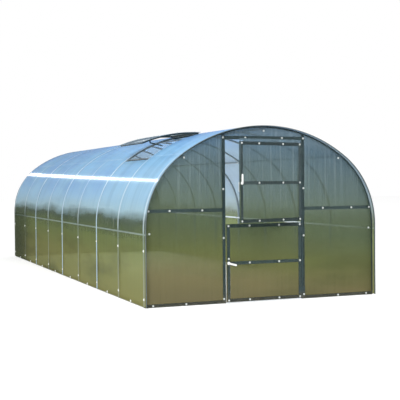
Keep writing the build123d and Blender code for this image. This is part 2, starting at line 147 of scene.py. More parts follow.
class Graph:
    """The node tree of one material, with the coordinates that its fields start from."""

    def __init__(self, tree: bpy.types.NodeTree) -> None:
        """Clear the tree and add the coordinate node.

        Args:
            tree: The node tree to fill.
        """
        self.tree = tree
        tree.nodes.clear()
        self.place = self.node("TexCoord", output="Object")

    def node(
        self,
        kind: str,
        settings: dict[str, object] | None = None,
        sockets: dict[str | int, object] | None = None,
        output: str | int = 0,
    ) -> Field:
        """Add a node of any type.

        Args:
            kind: The node's type, without the ShaderNode that it starts with.
            settings: Its own settings, set first; stops are a colour ramp's.
            sockets: Values or fields of its inputs, by name or number.
            output: Name or number of the output to return.

        Returns:
            That output.
        """
        made = self.tree.nodes.new(f"ShaderNode{kind}")
        for name, value in (settings or {}).items():
            if name == "stops":
                self.set_stops(made.color_ramp, value)
            else:
                setattr(made, name, value)
        for name, value in (sockets or {}).items():
            if isinstance(value, Field):
                self.tree.links.new(value.socket, made.inputs[name])
            else:
                made.inputs[name].default_value = value
        return Field(self, made.outputs[output] if len(made.outputs) else None)

    @staticmethod
    def set_stops(ramp: bpy.types.ColorRamp, stops: Stops) -> None:
        """Give a colour ramp its stops.

        Args:
            ramp: The ramp.
            stops: Place and colour of each stop.
        """
        while len(ramp.elements) < len(stops):
            ramp.elements.new(1.0)
        for element, (place, colour) in zip(ramp.elements, stops):
            element.position = place
            element.color = (*colour, 1.0)

    def axis(self, name: str) -> Field:
        """Return one coordinate in metres, by its letter."""
        return self.node("SeparateXYZ", sockets={0: self.place}, output=name)

    def noise(self, scale: Triple, detail: float = 3.0, rough: float = 0.55) -> Field:
        """Return noise from 0 to 1, given its features per metre on each axis, octaves and roughness."""
        at = self.node("VectorMath", {"operation": "MULTIPLY"}, {0: self.place, 1: scale})
        return self.node("TexNoise", {}, {"Vector": at, "Scale": 1.0, "Detail": detail, "Roughness": rough})

    def ramp(self, value: Field, stops: Stops) -> Field:
        """Return the colour that a ramp gives for a value from 0 to 1."""
        return self.node("ValToRGB", {"stops": stops}, {0: value})

    def mix(self, share: Field, under: Field | Rgb, over: Field | Rgb) -> Field:
        """Return two colours mixed, with this share of the second one."""
        under, over = [c if isinstance(c, Field) else (*c, 1.0) for c in (under, over)]
        return self.node("Mix", {"data_type": "RGBA"}, {0: share, 6: under, 7: over}, 2)

    def blend(self, share: Field, under: Field, over: Field) -> Field:
        """Return two shaders mixed, with this share of the second one."""
        return self.node("MixShader", sockets={0: share, 1: under, 2: over})

    def through(self, tint: Rgb) -> Field:
        """Return a shader that lets light straight through in a tint."""
        return self.node("BsdfTransparent", sockets={"Color": (*tint, 1.0)})

    def bump(self, height: Field, depth: float, strength: float = 1.0) -> Field:
        """Return the normal of a relief from 0 to 1 that is so many metres deep."""
        return self.node("Bump", sockets={"Height": height, "Distance": depth, "Strength": strength})

    def seen(self) -> Field:
        """Return 1 for rays from the camera, off gloss or through glass, and 0 for others."""
        kinds = ("Camera", "Glossy", "Transmission")
        return reduce(Field.either, [self.node("LightPath", output=f"Is {k} Ray") for k in kinds])


@dataclass(frozen=True)
class Patch:
    """A colour laid over part of a surface, between soft steps along the axes and in a noise."""

    colour: Rgb
    share: float
    above: tuple[tuple[str, Pair], ...] = ()
    below: tuple[tuple[str, Pair], ...] = ()
    noise: Triple | None = None
    noise_step: Pair = (0.55, 0.25)

    def over(self, graph: Graph, colour: Field) -> Field:
        """Return a colour with this patch laid over it.

        Args:
            graph: Where to add the nodes.
            colour: The colour under it.

        Returns:
            The new colour.
        """
        masks = [graph.axis(name).above(*step) for name, step in self.above]
        masks += [graph.axis(name).below(*step) for name, step in self.below]
        if self.noise:
            masks.append(graph.noise(self.noise).above(*self.noise_step))
        return graph.mix(reduce(Field.__mul__, masks) * self.share, colour, self.colour)


# ---- outline ----
@dataclass(frozen=True)
class Arch:
    """Outline of the cladding: upright walls, two shoulders and a flatter crown."""

    half: float = 1.5
    top: float = 2.08
    wall: float = 0.88
    shoulder: float = 1.05
    steps: int = 96

    @property
    def crown(self) -> float:
        """Return the radius of the crown."""
        inset, rise = self.half - self.shoulder, self.top - self.wall
        return (self.shoulder**2 - inset**2 - rise**2) / (2 * self.shoulder - 2 * rise)

    @property
    def joint(self) -> float:
        """Return the angle from the vertical at which a shoulder meets the crown."""
        return math.atan2(self.half - self.shoulder, self.wall - (self.top - self.crown))

    def at(self, angle: float, lift: float = 0.0) -> tuple[Vector, Vector]:
        """Return a point of the outline and the direction out of it.

        Args:
            angle: From the vertical, from the left wall's -pi/2 to the right wall's pi/2.
            lift: Distance outside the cladding.

        Returns:
            The point, at Y 0, and the outward direction.
        """
        outward = Vector((math.sin(angle), 0, math.cos(angle)))
        if abs(angle) <= self.joint:
            radius, centre = self.crown, Vector((0, 0, self.top - self.crown))
        else:
            radius = self.shoulder
            centre = Vector((math.copysign(self.half - self.shoulder, angle), 0, self.wall))
        return centre + outward * (radius + lift), outward

    def stations(self, foot: float) -> list[tuple[Vector, Vector]]:
        """Return points round the whole outline.

        Args:
            foot: Height at which it starts and ends.

        Returns:
            Points and their outward directions, from the left foot to the right one.
        """
        bent = [self.at(math.pi * (i / self.steps - 0.5)) for i in range(self.steps + 1)]
        left, right = [(Vector((side * self.half, 0, foot)), Vector((side, 0, 0))) for side in (-1, 1)]
        return [left, *bent, right]


# ---- finishes ----
class Slot(Enum):
    """Names of the record's material slots that go with the added pieces."""

    SHEET = "cladding"
    LEVER = "lever_coat"
    FITTING = "fittings"


class Run(Enum):
    """Axis that crosses the flutes of a sheet."""

    ALONG_ARCH = "Y"
    UPRIGHT = "X"


@dataclass(frozen=True)
class Finish:
    """A surface finish: fixed values of its shader, and a method for what varies."""

    name: str
    roughness: float = 0.5
    metallic: float = 0.0
    coat_roughness: float = 0.05
    specular: float = 0.5

    def material(self) -> bpy.types.Material:
        """Make the material of this finish on first use.

        Returns:
            The material.
        """
        made = bpy.data.materials.get(self.name)
        if made is None:
            made = bpy.data.materials.new(self.name)
            made.use_nodes = True
            graph = Graph(made.node_tree)
            graph.node("OutputMaterial", sockets={"Surface": self.shader(graph)})
        return made

    def shader(self, graph: Graph) -> Field:
        """Return the whole shader.

        Args:
            graph: Where to add the nodes.

        Returns:
            The shader.
        """
        fixed = {
            "Roughness": self.roughness,
            "Metallic": self.metallic,
            "Coat Roughness": self.coat_roughness,
            "Specular IOR Level": self.specular,
        }
        return graph.node("BsdfPrincipled", sockets=fixed | self.surface(graph))

    def surface(self, graph: Graph) -> dict[str, object]:
        """Return the sockets that vary over the surface, by name."""
        raise NotImplementedError

    def dress(self, *pieces: bpy.types.Object) -> None:
        """Give pieces this finish on all their faces.

        Args:
            pieces: The pieces.
        """
        for piece in pieces:
            piece.data.materials.clear()
            piece.data.materials.append(self.material())


@dataclass(frozen=True, kw_only=True)
class Metal(Finish):
    """Mottled zinc or painted steel, slightly soiled near the ground."""

    colour: Rgb
    mottle: Rgb
    grain: float = 60.0
    grain_blur: float = 0.4
    grain_share: float = 0.9
    clouds: float = 7.0
    cloud_share: float = 0.7
    mottle_step: Pair = (0.72, 0.7)
    mottle_roughness: float = 0.12
    soil: Rgb = (0.16, 0.14, 0.10)
    soil_top: Pair = (0.14, 0.2)
    soil_ragged: float = 0.16
    soil_share: float = 0.45
    soil_roughness: float = 0.15
    relief: float = 0.0002
    relief_share: float = 0.6
    grain_relief: float = 0.5

    def surface(self, graph: Graph) -> dict[str, object]:
        """Return the mottle, the soil near the ground and a fine relief.

        Args:
            graph: Where to add the nodes.

        Returns:
            Fields by socket name.
        """
        cells = graph.node(
            "TexVoronoi",
            {"feature": "SMOOTH_F1"},
            {"Vector": graph.place, "Scale": self.grain, "Smoothness": self.grain_blur},
        )
        cloud = graph.noise((self.clouds,) * 3, detail=4.0)
        patches = (cells * self.grain_share + cloud * self.cloud_share).above(*self.mottle_step)
        clean = graph.mix(patches, self.colour, self.mottle)
        low = (graph.axis("Z") + cloud * self.soil_ragged).below(*self.soil_top)
        return {
            "Base Color": graph.mix(low * self.soil_share, clean, self.soil),
            "Roughness": patches * self.mottle_roughness + low * self.soil_roughness + self.roughness,
            "Normal": graph.bump(cells * self.grain_relief + cloud, self.relief, self.relief_share),
        }


@dataclass(frozen=True, kw_only=True)
class Polycarbonate(Finish):
    """Clear twin-wall sheet: some light goes straight through, and the rest shows its tint.

    The tint changes with height; on the roof and the gables it paints the reflection of ground, tree line
    and sky over the sheet's own tint. Streaks and haze along the flutes, clouds and patches vary it.
    """

    roughness: float = 0.3
    specular: float = 0.0
    coat_roughness: float = 0.17
    run: Run = Run.UPRIGHT
    flute: float = 0.0058
    fine_streaks: Pair = (38.0, 0.6)
    broad_streaks: Pair = (6.0, 0.5)
    kept: float
    kept_streaks: Pair = (30.0, 0.8)
    kept_share: float = 0.10
    low_haze: float = 0.12
    low_top: Pair = (0.7, 0.8)
    flute_haze: float = 0.0
    line_haze: float = 0.25
    steel_clearing: float = 0.92
    through_low: Rgb
    through_high: Rgb
    through_step: Pair = (0.9, 0.9)
    tint: Stops
    top: float = 2.1
    lean: float = 0.0
    clouds: Triple = (0.8, 0.8, 4.5)
    cloud_share: float = 0.07
    streak_share: float = 0.04
    upper: Pair = (1.3, 0.8)
    lower_share: float = 0.05
    pale: Rgb = (0.62, 0.70, 0.72)
    pale_step: Pair = (0.60, 0.3)
    pale_share: float = 0.2
    line_share: float = 0.6
    deep: Rgb = (0.07, 0.10, 0.09)
    deep_step: Pair = (0.62, 0.3)
    deep_share: float = 0.16
    # Dark olive patches in a noise, below about 0.6 m.
    low_dark_patch: Patch = Patch((0.10, 0.11, 0.05), 0.55, (), (("Z", (0.62, 0.5)),), (0.55, 0.55, 2.2))
    patches: tuple[Patch, ...] = ()
    gloss: Pair
    gloss_step: Pair = (1.0, 0.3)
    gloss_ragged: float = 0.1
    streak_roughness: float = 0.10
    relief: float = 0.0006
    relief_share: float = 0.4
    flute_relief: float = 0.05
    streak_relief: float = 0.4
    dents: float = 1.3
    dent_relief: float = 1.0

    def streaks(self, graph: Graph, features: Pair) -> Field:
        """Return noise drawn out along the flutes."""
        scale = (*features, features[1]) if self.run is Run.UPRIGHT else (features[1], *features)
        return graph.noise(scale, detail=2.0, rough=0.6)

    def lines(self, graph: Graph) -> Field | None:
        """Return where a pale line is painted over steel behind the sheet, standing in for the sunlit steel
        showing through.
        """
        return None

    def steel(self, graph: Graph) -> Field | None:
        """Return where the sheet lies flat on dark steel, which shows through it clearly."""
        return None

    def shader(self, graph: Graph) -> Field:
        """Return the surface, with part of the light let straight through it.

        Args:
            graph: Where to add the nodes.

        Returns:
            The shader.
        """
        rise = graph.axis("Z")
        low, high = graph.through(self.through_low), graph.through(self.through_high)
        clear = graph.blend(rise.above(*self.through_step), low, high)
        kept = (self.streaks(graph, self.kept_streaks) - 0.5) * self.kept_share + self.kept
        kept += rise.below(*self.low_top) * self.low_haze
        kept += graph.axis(self.run.value).wave(self.flute) * self.flute_haze
        lines, steel = self.lines(graph), self.steel(graph)
        if lines is not None:
            kept += lines * self.line_haze
        if steel is not None:
            kept *= 1.0 - steel * self.steel_clearing
            clear = graph.blend(steel, clear, graph.through((1.0, 1.0, 1.0)))
        return graph.blend(kept, clear, super().shader(graph))

    def surface(self, graph: Graph) -> dict[str, object]:
        """Return the tint, the streaks, the gloss and the relief of the flutes.

        Args:
            graph: Where to add the nodes.

        Returns:
            Fields by socket name.
        """
        fine = self.streaks(graph, self.fine_streaks)
        broad = self.streaks(graph, self.broad_streaks)
        clouds = graph.noise(self.clouds, detail=4.0)
        rise = graph.axis("Z")
        upper = rise.above(*self.upper).from_to(self.lower_share, 1.0)
        height = rise * (1 / self.top) + graph.axis("X") * self.lean
        height += (clouds - 0.5) * self.cloud_share + (broad - 0.5) * upper * self.streak_share
        colour = graph.ramp(height, self.tint)
        colour = graph.mix(fine.above(*self.pale_step) * upper * self.pale_share, colour, self.pale)
        colour = self.low_dark_patch.over(graph, colour)
        colour = graph.mix(broad.above(*self.deep_step) * upper * self.deep_share, colour, self.deep)
        # Painted light: pale lines over the steel behind the sheet, for the sunlit steel showing through.
        lines = self.lines(graph)
        if lines is not None:
            colour = graph.mix(lines * self.line_share, colour, self.pale)
        for patch in self.patches:
            colour = patch.over(graph, colour)
        gloss = (rise + (broad - 0.5) * self.gloss_ragged).above(*self.gloss_step)
        ribs = graph.axis(self.run.value).wave(self.flute) * 0.5 + 0.5
        dents = graph.noise((self.dents,) * 3, detail=1.0)
        relief = ribs * self.flute_relief + fine * self.streak_relief + broad + dents * self.dent_relief
        return {
            "Base Color": colour,
            "Roughness": fine * self.streak_roughness + self.roughness,
            "Coat Weight": gloss.from_to(*self.gloss),
            "Normal": graph.bump(relief, self.relief, self.relief_share),
        }


@dataclass(frozen=True, kw_only=True)
class RoofPolycarbonate(Polycarbonate):
    """Sheet bent over the hoops, with a pale line painted where it lies on each hoop and purlin, standing
    in for the sunlit steel seen through it.
    """

    first_hoop: float
    pitch: float
    hoop_reach: float = 0.024
    hoop_soft: float = 0.010
    roof: Pair = (1.70, 0.3)
    roof_lines: float = 0.15
    wall_top: Pair = (0.84, 0.1)
    wall_lines: float = 0.4
    mid_purlin: float = 0.828
    upper_purlin: float = 1.045
    shoulder: Pair = (1.2, 0.1)
    purlin_reach: float = 0.009
    purlin_soft: float = 0.006
    purlin_lines: float = 0.55
    upper_purlin_share: float = 0.5
    # Blue patches above about 1.3 m paint more reflected sky; the other two darken the low wall towards the
    # rear and grey the right slope.
    patches: tuple[Patch, ...] = (
        Patch((0.22, 0.44, 0.84), 0.55, (("Z", (1.3, 0.4)),), (), (0.5, 0.7, 1.6), (0.52, 0.25)),
        Patch((0.05, 0.07, 0.05), 0.75, (("Y", (2.9, 1.6)),), (("Z", (0.92, 0.25)),)),
        Patch((0.38, 0.42, 0.42), 0.70, (("X", (0.5, 1.2)), ("Z", (0.95, 0.3)))),
    )

    def lines(self, graph: Graph) -> Field:
        """Return the painted pale lines over the hoops and the purlins.

        Args:
            graph: Where to add the nodes.

        Returns:
            The lines, from 0 to 1.
        """
        across, along, rise = (graph.axis(name) for name in "XYZ")
        shown = rise.above(*self.roof).from_to(1.0, self.roof_lines)
        shown *= rise.above(*self.wall_top).from_to(self.wall_lines, 1.0)
        hoops = along.near_each(self.first_hoop, self.pitch, self.hoop_reach, self.hoop_soft) * shown
        middle = rise.near(self.mid_purlin, self.purlin_reach, self.purlin_soft)
        upper = abs(across).near(self.upper_purlin, self.purlin_reach, self.purlin_soft)
        upper *= rise.above(*self.shoulder) * self.upper_purlin_share
        return hoops.either(middle.either(upper) * self.purlin_lines)

@dataclass(frozen=True)
class Tubes:
    """Steel tubes that a sheet lies on, all running the same way."""

    places: tuple[float, ...]
    span: Pair = (-1.0, 3.0)
    half: float = 0.020
    soft: float = 0.004

    def under(self, offset: Field, run: Field) -> Field:
        """Return where they lie under the sheet.

        Args:
            offset: Coordinate across the tubes.
            run: Coordinate along them.

        Returns:
            1 over the tubes, 0 between them.
        """
        lines = reduce(Field.either, [offset.near(place, self.half, self.soft) for place in self.places])
        low, high = self.span
        return lines * run.above(low, self.soft) * run.below(high, self.soft)


# Heights of the rails of the door leaves, and X of the screws along them.
LEAF_ROWS = (0.032, 0.467, 0.902, 0.966, 1.404, 1.860)
LEAF_COLUMNS = (-0.468, -0.198, 0.188, 0.468)


@dataclass(frozen=True, kw_only=True)
class GablePolycarbonate(Polycarbonate):
    """Flat sheet of a gable or a door leaf, with dark steel tubes behind its edges.

    A leaf that stands open has its own direction and shift, which find the tubes behind it.
    """

    arch: Arch = Arch()
    hoop_depth: float = 0.024
    shoulder_soft: float = 0.006
    crown_soft: float = 0.010
    direction: Triple = (1.0, 0.0, 0.0)
    shift: float = 0.0
    uprights: tuple[Tubes, ...] = (Tubes((0.520,)), Tubes((0.468,), (-1.0, 1.89)))
    levels: tuple[Tubes, ...] = (
        Tubes((0.020, 1.092), (0.54, 2.0)),
        Tubes((1.935,), (-1.0, 0.50)),
        Tubes(LEAF_ROWS, (-1.0, 0.448)),
    )

    def rim(self, across: Field, rise: Field) -> Field:
        """Return where the sheet lies on the hoop of its gable.

        Args:
            across: Distance from the middle of the gable.
            rise: Height.

        Returns:
            1 over the hoop, 0 inside it.
        """
        arch, deep = self.arch, self.hoop_depth
        beside = (across - (arch.half - arch.shoulder)).either(0.0)
        over = (rise - arch.wall).either(0.0)
        centre = rise - (arch.top - arch.crown)
        shoulder = (beside * beside + over * over).above((arch.shoulder - deep) ** 2, self.shoulder_soft)
        crown = (across * across + centre * centre).above((arch.crown - deep) ** 2, self.crown_soft)
        side = across.above(arch.crown * math.sin(arch.joint), self.crown_soft)
        return shoulder * side + crown * (1.0 - side)

    def steel(self, graph: Graph) -> Field:
        """Return where the sheet lies on the tubes of its frame or on the hoop.

        Args:
            graph: Where to add the nodes.

        Returns:
            1 over steel, 0 elsewhere.
        """
        dot, sockets = {"operation": "DOT_PRODUCT"}, {0: graph.place, 1: self.direction}
        across = abs(graph.node("VectorMath", dot, sockets, "Value") + self.shift)
        rise = graph.axis("Z")
        found = [self.rim(across, rise)]
        found += [tubes.under(across, rise) for tubes in self.uprights]
        found += [tubes.under(rise, across) for tubes in self.levels]
        return reduce(Field.either, found)


@dataclass(frozen=True, kw_only=True)
class Plastic(Finish):
    """Moulded plastic or thick paint with faint clouding."""

    colour: Rgb
    shade: Rgb
    clouds: float = 90.0
    cloud_step: Pair = (0.55, 0.5)
    shaded: float = 0.6
    cloud_roughness: float = 0.15
    relief: float = 0.0001

    def surface(self, graph: Graph) -> dict[str, object]:
        """Return the clouding and its effect on the gloss."""
        cloud = graph.noise((self.clouds,) * 3)
        return {
            "Base Color": graph.mix(cloud.above(*self.cloud_step) * self.shaded, self.colour, self.shade),
            "Roughness": cloud * self.cloud_roughness + self.roughness,
            "Normal": graph.bump(cloud, self.relief),
        }


TUNNEL = "tunnel"
NODES = frame["nodes"]
JOINTS = {joint["name"]: joint for joint in frame["joints"]}


def nodes_named(*starts: str) -> list[bpy.types.Object]:
    """Return the CAD nodes whose names start with any of some words."""
    return [NODES[name] for name in sorted(NODES) if name.startswith(starts)]


def middle_of(node: str) -> Vector:
    """Return the middle of a CAD node's box."""
    low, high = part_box(node)
    return (low + high) / 2


def opened(name: str) -> Matrix:
    """Return how a joint's body stands at rest, from where it is shut.

    Args:
        name: Name of the joint.

    Returns:
        The turn about the joint.
    """
    joint = JOINTS[name]
    pivot = Matrix.Translation(Vector(joint["pos_m"]))
    turned = Matrix.Rotation(math.radians(-joint["range_deg"][0]), 4, Vector(joint["axis"]))
    return pivot @ turned @ pivot.inverted()


HOOPS_AT = sorted(middle_of(piece.name).y for piece in nodes_named("hoop_", "front_hoop", "rear_hoop"))

# Zinc-coated hoops, ridge and upper purlins, darkened to paint the shade inside the tunnel.
HOOP_STEEL_IN_PAINTED_SHADE = Metal(
    "galvanised_hoop_steel", metallic=0.2,
    colour=(0.26, 0.31, 0.33), mottle=(0.20, 0.24, 0.26),
)
# Zinc-coated lower rails, painted near white to show them sunlit.
RAIL_STEEL_PAINTED_SUNLIT = Metal(
    "galvanised_rail_steel", roughness=0.40, metallic=0.1,
    colour=(0.88, 0.92, 0.94), mottle=(0.76, 0.80, 0.82),
)
# Dark coat on the gable frames, doors, vent and end hoops; its near-black teal also paints the shade they
# stand in.
DARK_COAT_AND_PAINTED_SHADE = Metal(
    "dark_coated_steel", roughness=0.45, specular=0.3, grain=24.0, relief=0.00012,
    colour=(0.018, 0.038, 0.041), mottle=(0.028, 0.050, 0.053),
)
ZINC = Metal(
    "bright_zinc", roughness=0.30, metallic=0.7, grain=140.0,
    colour=(0.74, 0.76, 0.75), mottle=(0.60, 0.62, 0.62),
)
LEVER_COAT = Plastic("lever_coat", 0.32, colour=(0.90, 0.91, 0.90), shade=(0.80, 0.81, 0.80))
WALL_WASHER = Plastic("wall_washer", 0.36, colour=(0.86, 0.88, 0.85), shade=(0.72, 0.75, 0.72))
WALL_CAP = Plastic("screw_cap", 0.30, colour=(0.93, 0.94, 0.92), shade=(0.84, 0.85, 0.83))
GABLE_WASHER = Plastic("gable_washer", 0.36, colour=(0.50, 0.55, 0.54), shade=(0.40, 0.45, 0.44))
GABLE_CAP = Plastic("gable_screw_cap", 0.34, colour=(0.68, 0.72, 0.71), shade=(0.58, 0.62, 0.61))
# The lap strips' pale sky blue paints the sky reflected on them.
LAP = Plastic("lap_strip", 0.35, colour=(0.43, 0.61, 0.76), shade=(0.35, 0.52, 0.66))
SEAL = Plastic("edge_seal", 0.45, colour=(0.085, 0.115, 0.120), shade=(0.060, 0.085, 0.090))
ROOF_SHEET = RoofPolycarbonate(
    "roof_polycarbonate",
    run=Run.ALONG_ARCH,
    kept=0.58,
    through_low=(0.84, 0.88, 0.66),
    through_high=(0.80, 0.87, 0.92),
    through_step=(1.0, 0.5),
    gloss=(0.03, 0.25),
    coat_roughness=0.125,
    flute_relief=0.1,
    dent_relief=11.0,
    upper=(0.9, 0.8),
    cloud_share=0.11,
    first_hoop=HOOPS_AT[0],
    pitch=HOOPS_AT[1] - HOOPS_AT[0],
    pale=(0.62, 0.74, 0.82),
    # Painted reflection over the sheet's own tint: the olive and ochre stops paint the ground, the
    # near-black green at 0.455 the tree line, and the blues above it the sky.
    tint=(
        (0.00, (0.29, 0.28, 0.110)),
        (0.20, (0.25, 0.26, 0.100)),
        (0.34, (0.20, 0.245, 0.100)),
        (0.455, (0.080, 0.115, 0.080)),
        (0.52, (0.46, 0.68, 0.80)),
        (0.60, (0.43, 0.71, 0.93)),
        (0.86, (0.33, 0.67, 1.00)),
        (0.98, (0.25, 0.54, 0.94)),
    ),
)
VENT_SHEET = Polycarbonate(
    "vent_polycarbonate",
    run=Run.ALONG_ARCH,
    kept=0.36,
    through_low=(0.80, 0.85, 0.88),
    through_high=(0.80, 0.85, 0.88),
    gloss=(0.03, 0.15),
    tint=((0.80, (0.30, 0.39, 0.48)), (1.0, (0.32, 0.43, 0.54))),
)
GABLE_SHEET = GablePolycarbonate(
    "gable_polycarbonate",
    kept=0.53,
    low_haze=0.26,
    low_top=(0.58, 0.8),
    flute_haze=0.17,
    cloud_share=0.11,
    lean=0.05,
    through_low=(0.70, 0.68, 0.52),
    through_high=(0.74, 0.80, 0.82),
    through_step=(0.75, 1.3),
    gloss=(0.02, 0.06),
    pale_share=0.14,
    # Painted reflection over the sheet's own tint: the ochre and olive stops low down paint the ground, and
    # the blue-grey ones higher up the sky.
    tint=(
        (0.00, (0.175, 0.155, 0.080)),
        (0.10, (0.185, 0.165, 0.078)),
        (0.25, (0.155, 0.178, 0.070)),
        (0.42, (0.118, 0.156, 0.095)),
        (0.55, (0.134, 0.172, 0.112)),
        (0.72, (0.120, 0.165, 0.150)),
        (0.88, (0.105, 0.165, 0.205)),
        (0.98, (0.19, 0.26, 0.30)),
    ),
)


# ---- mesh making ----
class Maker:
    """Builds one piece out of turned and bent shapes."""

    def __init__(self, name: str) -> None:
        """Start an empty piece of this name."""
        self.name = name
        self.mesh = bmesh.new()

    def strip(self, sections: list[list[Vector]]) -> None:
        """Add a closed shape through sections with equal numbers of corners, or one point.

        Args:
            sections: Corners of each section, in order along the shape.
        """
        rings = [[self.mesh.verts.new(p) for p in section] for section in sections]
        for low, high in zip(rings, rings[1:]):
            for i in range(max(len(low), len(high))):
                corners = ((low, i), (low, i + 1), (high, i + 1), (high, i))
                self.mesh.faces.new(list(dict.fromkeys(ring[j % len(ring)] for ring, j in corners)))
        for end in (rings[0][::-1], rings[-1]):
            if len(end) > 1:
                self.mesh.faces.new(end)

    def turned(self, at: Matrix, rim: float, shape: Shape) -> None:
        """Add a turned shape.

        Args:
            at: Where its axis lies; the shape rises along local Z.
            rim: Radius that its shares are of.
            shape: Its sides and points.
        """
        sides, points = shape
        sections = []
        for share, height in points:
            angles = [2 * math.pi * i / sides for i in range(sides if share else 1)]
            circle = [(rim * share * math.cos(a), rim * share * math.sin(a), height) for a in angles]
            sections.append([at @ Vector(corner) for corner in circle])
        self.strip(sections)

    def finished(self, finish: Finish, body: str, smooth: float = 40.0) -> None:
        """Turn what was added into a piece that rides on a body.

        Args:
            finish: Its surface.
            body: The body that carries it.
            smooth: Faces that meet at less than this many degrees shade smoothly.
        """
        bmesh.ops.recalc_face_normals(self.mesh, faces=self.mesh.faces)
        data = bpy.data.meshes.new(self.name)
        self.mesh.to_mesh(data)
        self.mesh.free()
        piece = bpy.data.objects.new(self.name, data)
        bpy.context.scene.collection.objects.link(piece)
        data.shade_smooth()
        data.set_sharp_from_angle(angle=math.radians(smooth))
        finish.dress(piece)
        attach(piece, body)
        LOG.info("made %s", self.name)


def facing(place: Vector, outward: Vector, turn: float = 0.0) -> Matrix:
    """Return a frame at a place with local Z outward, turned so many degrees about it."""
    spin = Matrix.Rotation(math.radians(turn), 4, "Z")
    return Matrix.Translation(place) @ outward.to_track_quat("Z", "Y").to_matrix().to_4x4() @ spin


@dataclass
class Fastenings:
    """Fastenings of one kind, each turned a little differently from the last one."""

    name: str
    body: str
    spin: float = 37.0
    smooth: float = 40.0
    places: list[Matrix] = field(default_factory=list)

    def add(self, place: Vector, outward: Vector) -> None:
        """Put one at a place."""
        self.places.append(facing(place, outward, self.spin * len(self.places)))

    def turn(self, name: str, finish: Finish, slot: Slot, rim: float, *shapes: Shape) -> None:
        """Make one piece with the same turned shapes at every place.

        Args:
            name: Name of the piece.
            finish: Its surface.
            slot: The record's material slot; not used.
            rim: Radius that the shapes' shares are of.
            shapes: The shapes.
        """
        maker = Maker(name)
        for place in self.places:
            for shape in shapes:
                maker.turned(place, rim, shape)
        maker.finished(finish, self.body, self.smooth)


@dataclass(kw_only=True)
class Screws(Fastenings):
    """Roofing screws with broad plastic washers, all in one piece with their caps in another."""

    rim: float = 0.0165
    finish: Finish = WALL_WASHER
    cap_finish: Finish = WALL_CAP
    washer: Shape = (20, ((1.0, 0.0), (1.0, 0.0012), (0.93, 0.0022), (0.70, 0.0031), (0.52, 0.0034)))
    cap: Shape = (14, ((0.58, 0.0030), (0.58, 0.0062), (0.50, 0.0080), (0.30, 0.0092), (0.0, 0.0096)))

    def build(self) -> None:
        """Make the washers and their caps."""
        self.turn(f"{self.name}_washers", self.finish, Slot.SHEET, self.rim, self.washer)
        self.turn(f"{self.name}_caps", self.cap_finish, Slot.SHEET, self.rim, self.cap)


@dataclass(kw_only=True)
class SmallScrews(Screws):
    """The smaller, greyer screws of the flat sheets and the vent."""

    rim: float = 0.0125
    finish: Finish = GABLE_WASHER
    cap_finish: Finish = GABLE_CAP


@dataclass(kw_only=True)
class Bolts(Fastenings):
    """Hexagon bolt heads on plain washers, all in one piece."""

    spin: float = 23.0
    smooth: float = 25.0
    across: float = 0.010
    finish: Finish = ZINC
    washer: Shape = (16, ((1.5, 0.0), (1.5, 0.0010), (1.4, 0.0013)))
    head: Shape = (6, ((1.0, 0.0010), (1.0, 0.0042), (0.86, 0.0050)))

    def build(self) -> None:
        """Make the heads and their washers."""
        corner = self.across / math.sqrt(3)
        self.turn(self.name, self.finish, Slot.FITTING, corner, self.washer, self.head)


# ---- the object ----
@dataclass
class Hoops:
    """The nine hoops and the rails that join them."""

    arch: Arch
    purlins: tuple[str, ...] = (
        "ridge_purlin", "left_upper_purlin", "right_upper_purlin", "left_mid_purlin", "right_mid_purlin"
    )
    half_purlin: float = 0.010

    def dress(self) -> None:
        """Zinc the inner hoops, the ridge and the upper purlins, darkened to paint shade, and the lower
        rails, painted near white as if sunlit; give the end hoops the dark coat, whose darkness also paints
        shade.
        """
        HOOP_STEEL_IN_PAINTED_SHADE.dress(*nodes_named("hoop_", "ridge", "left_upper", "right_upper"))
        RAIL_STEEL_PAINTED_SUNLIT.dress(*nodes_named("left_base", "right_base", "left_mid", "right_mid"))
        DARK_COAT_AND_PAINTED_SHADE.dress(*nodes_named("front_hoop", "rear_hoop"))

    def build(self) -> None:
        """Bolt each purlin to each hoop."""
        bolts = Bolts("purlin_bolts", TUNNEL)
        crown = Vector((0, 0, self.arch.top - self.arch.crown))
        for name in self.purlins:
            middle = middle_of(name)
            middle.y = 0
            inward = Vector((-middle.x, 0, 0)) if "mid" in name else crown - middle
            inward.normalize()
            for y in HOOPS_AT:
                bolts.add(middle + inward * self.half_purlin + Vector((0, y, 0)), inward)
        bolts.build()


